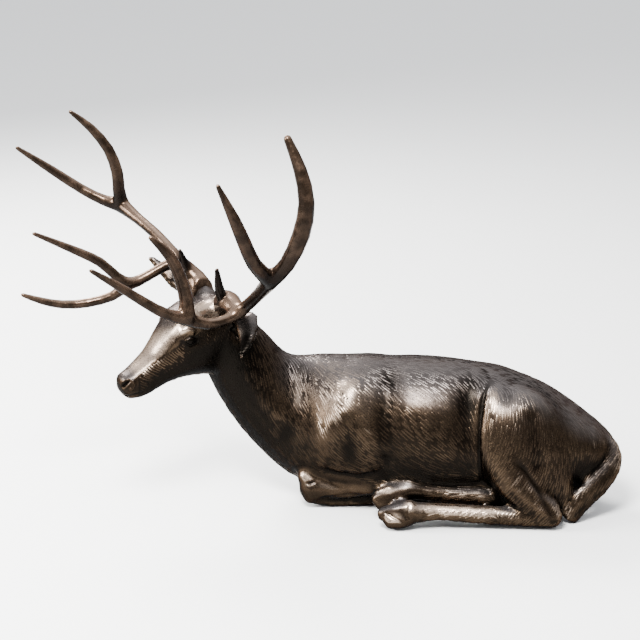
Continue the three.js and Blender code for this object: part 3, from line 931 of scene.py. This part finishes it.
@dataclass
class StagBody(Casting):
    """The body casting, with its muscles, folds, face and feet."""

    node: str = "stag_body"
    name: str = "body_casting"
    slot: Slot = Slot.BRONZE
    finish: Patina = HIDE_BRONZE
    voxel: float = 0.0069
    wear_and_painted_light: Sequence[Swell] = PAINTED_HIGHLIGHTS_AND_SHADE
    plain: Sequence[Swell] = EARS
    grooves: Sequence[Groove] = GROOVES
    swells: Sequence[Swell] = SWELLS
    deep_blends: Sequence[Swell] = DEEP_BLENDS
    fine_parts: Sequence[Part] = (*FEET_PARTS, *FINEST_PARTS)
    finest_parts: Sequence[Part] = FINEST_PARTS
    # Darkening between strokes: patina in the grooves and painted shade
    groove_patina_and_shade_tone: float = -0.33
    head_back: float = -0.05
    head_floor: float = -0.26
    nape_gap: float = 0.03
    nape_blend: float = 0.04
    trunk_floor: float = 0.09
    trunk_blend: float = 0.06
    legs_side: float = -0.19
    legs_top: float = 0.12
    tail_front: float = 0.43
    fold_margin: float = 0.011
    ear_fullness: float = 0.003
    smooth_rounds: int = 10
    blend_rounds: int = 34
    deep_rounds: int = 60
    ear_rounds: int = 36
    fine_rounds: int = 8

    def prepare(self, piece: bpy.types.Object) -> None:
        """Thickens the thin ears, so that the skin takes their edges cleanly.

        Args:
            piece: The casting.
        """
        wax = Wax(piece)
        wax.at += wax.normals() * (self.ear_fullness * wax.share(self.plain))[:, None]
        wax.set_back()

    def groove_patina_and_shade(self, at: np.ndarray) -> np.ndarray:
        """Darkens the hide between the strokes of the coat, as patina in the grooves and painted shade."""
        smooth = on_head(at) & ~beside_bridge(at) | within(at, SMOOTH_PARTS)
        return self.groove_patina_and_shade_tone * ~smooth

    def model(self, piece: bpy.types.Object) -> None:
        """Smooths the skin, refines the head, feet and folds, and works in muscles, folds and face.

        Args:
            piece: The casting.
        """
        wax = Wax(piece)
        wax.smooth(self.smooth_rounds)
        wax.smooth(self.blend_rounds, self._broad(wax.at), keep_size=False)
        wax.smooth(self.deep_rounds, wax.share(self.deep_blends), keep_size=False)
        wax.smooth(self.ear_rounds, wax.share(self.plain))
        wax.set_back()
        self._refine(piece, self._is_fine)
        self._refine(piece, self._is_finest)

        wax = Wax(piece)
        wax.smooth(self.fine_rounds, self._is_fine(wax.at).astype(float))
        wax.smooth(self.ear_rounds, wax.share(self.plain))
        wax.heave(self.swells)
        wax.press(self.grooves)
        wax.smooth(1)
        wax.at[:, 2] = np.maximum(wax.at[:, 2], 0.0)
        wax.set_back()

    def _broad(self, at: np.ndarray) -> np.ndarray:
        """Gives how far each place belongs to the broad forms that flow into one another.

        Args:
            at: The places, one row each.

        Returns:
            A share for each place.
        """
        forward = HEAD.read(at)[:, 0]
        behind = np.clip((self.head_back - self.nape_gap - forward) / self.nape_blend, 0, 1)
        trunk = np.clip((at[:, 2] - self.trunk_floor) / self.trunk_blend, 0, 1) * behind
        legs = (at[:, 1] < self.legs_side) & (at[:, 2] < self.legs_top)
        tail = at[:, 0] > self.tail_front
        return trunk * ~(legs | tail)

    def _is_fine(self, at: np.ndarray) -> np.ndarray:
        """Says which places take fine work: head, feet and the edges of folds.

        Args:
            at: The places, one row each.

        Returns:
            Whether each place does.
        """
        place = HEAD.read(at)
        fine = (place[:, 0] > self.head_back) & (place[:, 2] > self.head_floor)
        fine |= within(at, self.fine_parts)
        for groove in self.grooves:
            if groove.width < self.fold_margin:
                fine |= line_distance(at, groove.points) < self.fold_margin
        return fine

    def _is_finest(self, at: np.ndarray) -> np.ndarray:
        """Says which places take the finest work: nose, eye, ear, hooves and pits."""
        return within(at, self.finest_parts)

    def _refine(self, piece: bpy.types.Object, chosen_by: Region) -> None:
        """Halves the mesh where it takes fine work.

        Args:
            piece: The casting.
            chosen_by: A function that says which places are chosen.
        """
        mesh = piece.data
        chosen = chosen_by(read_values(mesh.polygons, "center", 3))
        only(piece)
        bpy.context.tool_settings.mesh_select_mode = (False, False, True)
        bpy.ops.object.mode_set(mode="EDIT")
        bpy.ops.mesh.select_all(action="DESELECT")
        bpy.ops.object.mode_set(mode="OBJECT")
        mesh.polygons.foreach_set("select", chosen)
        bpy.ops.object.mode_set(mode="EDIT")
        bpy.ops.mesh.subdivide(number_cuts=1)
        bpy.ops.object.mode_set(mode="OBJECT")
        bpy.ops.object.shade_smooth()


@dataclass
class Antler(Casting):
    """An antler with a smooth beam, full forks and a spike in painted shade; its places are in the head's
    frame.
    """

    slot: Slot = Slot.ANTLER
    finish: Patina = ANTLER_BRONZE
    voxel: float = 0.0028
    fine_relief: float = 0.008
    broad_relief: float = -0.025
    _: KW_ONLY
    forks: Sequence[Point]
    spike: Point
    seat: Point
    fork_reach: Point = (0.034, 0.034, 0.034)
    spike_reach: Point = (0.026, 0.026, 0.04)
    fork_web: float = 1.2
    fork_shade: float = -0.35
    spike_shade: float = -0.75
    seat_rise: float = 0.006
    rounds: int = 30
    fullness: float = 0.002
    fork_rounds: int = 50
    fork_fullness: float = 0.003

    def __post_init__(self) -> None:
        """Gives the top fork and the spike painted shade."""
        self.wear_and_painted_light = [*self._swells(self.forks[:1], self.fork_reach, self.fork_shade),
                       *self._swells([self.spike], self.spike_reach, self.spike_shade)]

    @staticmethod
    def _swells(places: Sequence[Point], reach: Point, height: float) -> list[Swell]:
        """Puts a swell of one reach and height at each of some places of the head."""
        return [Swell(at, reach, height) for at in HEAD.place(places)]

    def model(self, piece: bpy.types.Object) -> None:
        """Rounds off the tines, fills the forks, gives back what that takes and sets the foot in its seat.

        Args:
            piece: The casting.
        """
        wax = Wax(piece)
        wax.smooth(self.rounds)
        webs = wax.share(self._swells(self.forks, self.fork_reach, self.fork_web))
        wax.smooth(self.fork_rounds, webs, keep_size=False)
        wax.at += wax.normals() * (self.fullness + self.fork_fullness * webs)[:, None]
        wax.heave(self._swells([self.seat], self.fork_reach, self.seat_rise))
        wax.set_back()


ANTLERS = (
    Antler("antler_left", "left_antler_casting",
           forks=((0.05, 0.366, 0.156), (0.172, 0.16, 0.02), (0.018, 0.152, 0.002)),
           spike=(0.042, 0.094, 0.082), seat=(0.004, 0.06, 0.004)),
    Antler("antler_right", "right_antler_casting",
           forks=((0.076, -0.388, 0.192), (0.17, -0.16, 0.026), (0.038, -0.126, 0.08)),
           spike=(0.038, -0.098, 0.094), seat=(0.004, -0.06, 0.004)),
)

# Which way the coat lies, from the shoulder over the flank and haunch to the neck, legs and face
COAT_LIES = (
    Lie((-0.347, -0.052, 0.357), (0.15, -1.0)), Lie((-0.266, -0.058, 0.374), (0.75, -0.65)),
    Lie((-0.219, -0.123, 0.323), (0.65, -0.75)), Lie((-0.134, -0.116, 0.332), (0.5, -0.85)),
    Lie((-0.046, -0.104, 0.351), (0.75, -0.65)), Lie((0.041, -0.116, 0.34), (0.7, -0.7)),
    Lie((-0.071, -0.162, 0.241), (0.8, -0.6)), Lie((0.013, -0.176, 0.214), (0.8, -0.6)),
    Lie((-0.227, -0.17, 0.215), (0.7, -0.7)), Lie((-0.287, -0.149, 0.227), (0.6, -0.8)),
    Lie((0.088, -0.124, 0.317), (0.4, -0.9)), Lie((0.115, -0.155, 0.225), (0.45, -0.9)),
    Lie((0.166, -0.124, 0.312), (0.0, -1.0)), Lie((0.237, -0.154, 0.285), (-0.1, -1.0)),
    Lie((0.19, -0.2, 0.185), (-0.6, -0.75)), Lie((0.249, -0.209, 0.109), (-0.6, -0.75)),
    Lie((0.303, -0.17, 0.239), (-0.12, -1.0)), Lie((0.374, -0.127, 0.185), (0.0, -1.0)),
    Lie((0.299, -0.101, 0.323), (0.3, -0.95)), Lie((0.232, -0.01, 0.356), (0.9, -0.3)),
    Lie((0.36, -0.03, 0.287), (0.8, -0.6)), Lie((0.459, -0.088, 0.132), (-0.6, -0.75)),
    Lie((-0.085, -0.011, 0.394), (1.0, -0.15)), Lie((-0.498, -0.113, 0.321), (0.05, -1.0)),
    Lie((-0.443, -0.103, 0.186), (0.5, -0.85)), Lie((-0.461, -0.089, 0.44), (0.25, -0.95)),
    Lie((-0.004, -0.175, 0.138), (0.9, -0.4)), Lie((0.092, -0.228, 0.053), (0.8, 0.5)),
    Lie((0.062, -0.175, 0.083), (1.0, 0.1)), Lie((-0.216, -0.142, 0.07), (1.0, 0.0)),
    Lie((-0.6, -0.085, 0.56), (-0.8, -0.3)), Lie((-0.604, -0.182, 0.417), (0.4, -0.9)),
    Lie((-0.7, -0.228, 0.407), (1.0, -0.42)), Lie((-0.655, -0.205, 0.44), (0.85, -0.6)),
)


class Station(NamedTuple):
    """A place on a stroke: where it is, which way is out, and the hide's face there."""

    at: Vector
    out: Vector
    face: int


class Hide:
    """The finished surface that coats are combed over."""

    def __init__(self, piece: bpy.types.Object) -> None:
        """Reads the surface of a casting.

        Args:
            piece: The casting.
        """
        mesh = piece.data
        self.tree = BVHTree.FromPolygons([v.co for v in mesh.vertices],
                                         [tuple(p.vertices) for p in mesh.polygons])
        self.centres = read_values(mesh.polygons, "center", 3)
        self.normals = read_values(mesh.polygons, "normal", 3)
        first = read_values(mesh.polygons, "loop_start", 1, np.int32)[:, 0]
        corners = read_values(mesh.loops, "vertex_index", 1, np.int32)[:, 0]
        values = np.hstack([read_values(mesh.attributes[name].data, "value", 1) for name in (TONE, SKY)])
        count = np.diff(np.append(first, len(corners)))[:, None]
        self.marks = np.add.reduceat(values[corners], first) / count


@dataclass
class Coat:
    """Combed strokes side by side, each a low ridge that stands a little proud of the hide."""

    NEIGHBOURS = tuple(product((-1, 0, 1), repeat=3))
    # Shares of the spacing and the step that a new stroke and each further step need
    SEED_ROOM = 0.97
    LEAST_STEP = 0.4
    LEAST_STATIONS = 3
    # Stations that a stroke takes to reach full size, and the angle past which its ridge stays sharp
    TAPER = 2
    SHARP = 1.2
    # The least share that a far lie has, and the least length that a direction is divided by
    FAR_SHARE = 1e-9
    TINY = 1e-12

    name: str
    where: Region
    folds: Sequence[Sequence[Point]] = ()
    slot: Slot = Slot.BRONZE
    finish: Patina = HIDE_BRONZE
    spacing: float = 0.0058
    crowding: float = 0.56
    step: float = 0.0042
    length: Span = (0.05, 0.1)
    width: float = 0.0054
    height: float = 0.0009
    sunk: float = 0.0004
    stray: float = 0.04
    reach: float = 0.07
    # How much lighter a coat's strokes are than the hide's tone, darker if negative: copper wear on their
    # ridges, also a painted highlight of the light they catch
    wear_and_highlight: float = 0.0
    variety: float = 0.05
    clear: float = 0.0045
    starts: int = 400
    seed: int = 11

    def comb(self, hide: Hide) -> bpy.types.Object:
        """Lays the strokes over the hide, each beside those that are there.

        Args:
            hide: The surface that they lie on.

        Returns:
            The finished piece.
        """
        random = np.random.default_rng(self.seed)
        covered = self.where(hide.centres)
        for fold in self.folds:
            covered &= line_distance(hide.centres, fold) > self.clear
        ways = self._ways(hide)
        taken: Taken = {}
        strokes: list[list[Station]] = []
        for first in random.choice(np.flatnonzero(covered), self.starts):
            seeds = deque([Vector(hide.centres[first])])
            while seeds:
                at, out, face, _ = hide.tree.find_nearest(seeds.popleft())
                if not covered[face] or self._crowded(at, taken, self.spacing * self.SEED_ROOM):
                    continue
                stroke = self._trace(Station(at, out, face), hide, covered, ways, taken, random)
                if len(stroke) < self.LEAST_STATIONS:
                    continue
                strokes.append(stroke)
                for station in stroke:
                    taken.setdefault(self._cell(station.at), []).append(station.at)
                    aside = station.out.cross(ways[station.face]) * self.spacing
                    seeds.extend((station.at + aside, station.at - aside))
                for end, other in ((stroke[0], stroke[1]), (stroke[-1], stroke[-2])):
                    seeds.append(end.at + (end.at - other.at).normalized() * self.spacing)
        return self._piece(strokes, hide.marks, random)

    def _cell(self, at: Vector) -> tuple[int, int, int]:
        """Gives the cell of the grid that a place lies in."""
        x, y, z = (math.floor(number / self.spacing) for number in at)
        return x, y, z

    def _crowded(self, at: Vector, taken: Taken, apart: float) -> bool:
        """Says whether a place is too close to the strokes laid so far.

        Args:
            at: The place.
            taken: The stations laid so far, by cell.
            apart: The distance to keep.

        Returns:
            Whether any station is closer.
        """
        x, y, z = self._cell(at)
        limit = apart * apart
        for i, j, k in self.NEIGHBOURS:
            for other in taken.get((x + i, y + j, z + k), ()):
                if (other - at).length_squared < limit:
                    return True
        return False

    def _trace(self, start: Station, hide: Hide, covered: np.ndarray, ways: list[Vector], taken: Taken,
               random: np.random.Generator) -> list[Station]:
        """Follows the lie of the coat both ways from a place.

        Args:
            start: The stroke's first station.
            hide: The surface.
            covered: Which of its faces the coat covers.
            ways: The lie of the coat on each face.
            taken: The stations laid so far, by cell.
            random: The source of chance.

        Returns:
            The stations from end to end.
        """
        turn = random.normal(0, self.stray)
        steps = round(random.uniform(*self.length) / 2 / self.step)
        least = (self.LEAST_STEP * self.step) ** 2
        halves: list[list[Station]] = []
        for sign in (1, -1):
            half: list[Station] = []
            here = start
            for _ in range(steps):
                way = ways[here.face] + here.out.cross(ways[here.face]) * turn
                at, out, face, _ = hide.tree.find_nearest(here.at + way * (sign * self.step))
                if not covered[face] or self._crowded(at, taken, self.spacing * self.crowding):
                    break
                if (at - here.at).length_squared < least:
                    break
                here = Station(at, out, face)
                half.append(here)
            halves.append(half)
        return [*reversed(halves[1]), start, *halves[0]]

    def _ways(self, hide: Hide) -> list[Vector]:
        """Works out which way the coat lies on each face, alike on both sides of the animal.

        Args:
            hide: The surface.

        Returns:
            A direction for each face, in its plane.
        """
        near_side = hide.centres.copy()
        near_side[:, 1] = -np.abs(near_side[:, 1])
        total = np.zeros((len(near_side), 3))
        for lie in COAT_LIES:
            apart = ((near_side - np.asarray(lie.at)) ** 2).sum(1)
            share = np.exp(-apart / self.reach ** 2) + self.FAR_SHARE
            total += share[:, None] * np.array([lie.way[0], 0.0, lie.way[1]])
        total -= hide.normals * (total * hide.normals).sum(1)[:, None]
        total /= np.maximum(np.linalg.norm(total, axis=1), self.TINY)[:, None]
        return [Vector(way) for way in total]

    def _piece(self, strokes: Sequence[Sequence[Station]], marks: np.ndarray,
               random: np.random.Generator) -> bpy.types.Object:
        """Makes one mesh of all the strokes.

        Args:
            strokes: The stations of each stroke.
            marks: The hide's tone and how far it faces the sky, on each face.
            random: The source of chance.

        Returns:
            The dressed piece.
        """
        points: list[Vector] = []
        faces: list[tuple[int, ...]] = []
        wear_and_highlight: list[np.ndarray] = []
        for stroke in strokes:
            first = len(points)
            points.append(stroke[0].at - stroke[0].out * self.sunk)
            for k, (back, here, on) in enumerate(zip(stroke, stroke[1:], stroke[2:]), 1):
                full = min(k, len(stroke) - 1 - k, self.TAPER) / self.TAPER
                side = here.out.cross(on.at - back.at).normalized() * (self.width / 2 * math.sqrt(full))
                low = here.at - here.out * self.sunk
                points += [low + side, here.at + here.out * (self.height * full), low - side]
            points.append(stroke[-1].at - stroke[-1].out * self.sunk)
            faces += self._faces(first, len(stroke))
            mark = marks[[station.face for station in stroke]]
            mark[:, 0] += self.wear_and_highlight + random.normal(0, self.variety)
            wear_and_highlight.append(np.repeat(mark, [1, *[3] * (len(stroke) - 2), 1], axis=0))
        mesh = bpy.data.meshes.new(self.name)
        mesh.from_pydata([(p.x, p.y, max(p.z, 0.0)) for p in points], [], faces)
        mesh.update()
        piece = new_object(self.name, mesh)
        only(piece)
        bpy.ops.object.shade_smooth_by_angle(angle=self.SHARP)
        values = np.concatenate(wear_and_highlight)
        store_values(mesh, RELIEF_AND_PAINTED_LIGHT, values[:, 0])
        store_values(mesh, SKY, values[:, 1])
        dress(piece, self.finish)
        return piece

    @staticmethod
    def _faces(first: int, stations: int) -> list[tuple[int, ...]]:
        """Lists the faces of one stroke: two pointed ends and a ridge between them.

        Args:
            first: The index of the stroke's first point.
            stations: How many stations it has.

        Returns:
            The corners of each face.
        """
        a, last = first + 1, first + 3 * (stations - 2) + 1
        faces: list[tuple[int, ...]] = [(first, a + 1, a), (first, a + 2, a + 1), (first, a, a + 2)]
        for low in range(a, last - 3, 3):
            faces += [(low, low + 1, low + 4, low + 3), (low + 1, low + 2, low + 5, low + 4),
                      (low, low + 3, low + 5, low + 2)]
        return faces + [(last, last - 3, last - 2), (last, last - 2, last - 1), (last, last - 1, last - 3)]


# Lines that the near coat stops short of: narrow creases and the pits
CRISP_WIDTH = 0.012
CRISP_LINES = (*(fold.points for fold in FOLDS if fold.depth > 0 and fold.width < CRISP_WIDTH), PITS)
COATS = (
    Coat("near_coat", on_hide(near=True), CRISP_LINES),
    Coat("far_coat", on_hide(near=False), spacing=0.0068, width=0.0062),
    Coat("muzzle_coat", on_muzzle, spacing=0.0066, length=(0.06, 0.08), step=0.0045, width=0.0058,
         height=0.0014, wear_and_highlight=0.16),
    Coat("cheek_coat", on_cheek, spacing=0.005, length=(0.012, 0.022), step=0.0045, width=0.0046,
         height=0.001, wear_and_highlight=-0.06),
    Coat("crown_coat", on_crown, spacing=0.0075, length=(0.012, 0.022), step=0.004, width=0.006,
         height=0.0014, wear_and_highlight=0.05, variety=0.2, stray=0.2),
    Coat("spine_coat", on_spine, spacing=0.0075, length=(0.008, 0.012), step=0.003, width=0.0048,
         height=0.0016, stray=0.2),
)


@dataclass(frozen=True)
class Lamp:
    """A soft square lamp: where it hangs, the side of its face and its power in watts."""

    name: str
    at: Point
    size: float
    watts: float


@dataclass
class Studio:
    """A pale floor, soft light and a camera that takes in the whole stag."""

    eye: Point = (0.28259, -4.74588, 1.94908)
    target: Point = (-0.30013, 0.0, 0.48722)
    picture_width: float = 640.0
    focal_width: float = 1886.0
    far_end: float = 100.0
    floor_size: float = 90.0
    floor_colour: Colour = (0.82, 0.82, 0.8, 1)
    floor_roughness: float = 0.9
    sky_colour: Colour = (0.93, 0.95, 1.0, 1)
    sky_overhead: tuple[Span, Span] = ((0.05, 0.9), (0.35, 1.6))
    sky_behind: tuple[Span, Span] = ((-0.2, 0.9), (0.0, 0.9))
    lamp_target: Point = (-0.1, 0.0, 0.3)
    lamps: Sequence[Lamp] = (
        Lamp("key", (-0.55, -2.2, 3.25), 1.2, 520),
        Lamp("side", (-3.4, -0.9, 1.6), 1.5, 400),
        Lamp("rim", (-2.4, 2.6, 2.9), 1.6, 500),
    )

    def build(self) -> None:
        """Sets up floor, sky, lamps and camera."""
        self._floor()
        self._sky()
        for lamp in self.lamps:
            self._light(lamp)
        self._camera()

    def _floor(self) -> None:
        """Lays the floor."""
        bpy.ops.object.select_all(action="DESELECT")
        bpy.ops.mesh.primitive_plane_add(size=self.floor_size, location=(0, 0, 0))
        floor = bpy.context.active_object
        floor.name = "floor"
        paint = bpy.data.materials.new("pale floor")
        paint.use_nodes = True
        shader = paint.node_tree.nodes["Principled BSDF"]
        shader.inputs["Base Color"].default_value = self.floor_colour
        shader.inputs["Roughness"].default_value = self.floor_roughness
        floor.data.materials.append(paint)

    def _sky(self) -> None:
        """Sets a pale sky that is brighter overhead and behind the stag than in front."""
        world = bpy.data.worlds.new("studio")
        bpy.context.scene.world = world
        world.use_nodes = True
        tree = world.node_tree
        background = tree.nodes["Background"]
        background.inputs["Color"].default_value = self.sky_colour
        direction = tree.nodes.new("ShaderNodeSeparateXYZ")
        tree.links.new(tree.nodes.new("ShaderNodeTexCoord").outputs["Generated"], direction.inputs[0])
        overhead = remap(tree, direction.outputs["Z"], *self.sky_overhead)
        behind = remap(tree, direction.outputs["Y"], *self.sky_behind)
        total = add_node(tree, "ShaderNodeMath", 0, {0: overhead, 1: behind}, operation="ADD")
        tree.links.new(total, background.inputs["Strength"])

    def _light(self, lamp: Lamp) -> None:
        """Hangs a lamp so that it faces the stag.

        Args:
            lamp: The lamp.
        """
        light = bpy.data.lights.new(lamp.name, "AREA")
        light.size = lamp.size
        light.energy = lamp.watts
        self._face(new_object(lamp.name, light), lamp.at, self.lamp_target)

    def _camera(self) -> None:
        """Sets up the camera."""
        camera = bpy.data.cameras.new("camera")
        camera.sensor_fit = "HORIZONTAL"
        camera.lens = camera.sensor_width * self.focal_width / self.picture_width
        camera.clip_end = self.far_end
        holder = new_object("camera", camera)
        self._face(holder, self.eye, self.target)
        bpy.context.scene.camera = holder

    @staticmethod
    def _face(holder: bpy.types.Object, at: Point, target: Point) -> None:
        """Stands a lamp or camera at one place and turns it to face another."""
        holder.location = at
        holder.rotation_euler = (Vector(target) - Vector(at)).to_track_quat("-Z", "Y").to_euler()


def report(piece: bpy.types.Object) -> None:
    """Reports a piece's triangles and finish."""
    triangles = sum(len(face.vertices) - 2 for face in piece.data.polygons)
    LOG.info("%s: %d triangles, finish %s", piece.name, triangles, piece.data.materials[0].name)


def main() -> None:
    """Builds the castings and their coats, then the studio, and reports each piece."""
    logging.basicConfig(level=logging.INFO, format="%(name)s %(message)s")
    body = StagBody().build()
    report(body)
    for antler in ANTLERS:
        report(antler.build())
    hide = Hide(body)
    for coat in COATS:
        report(coat.comb(hide))
    Studio().build()


if __name__ == "__main__":
    main()
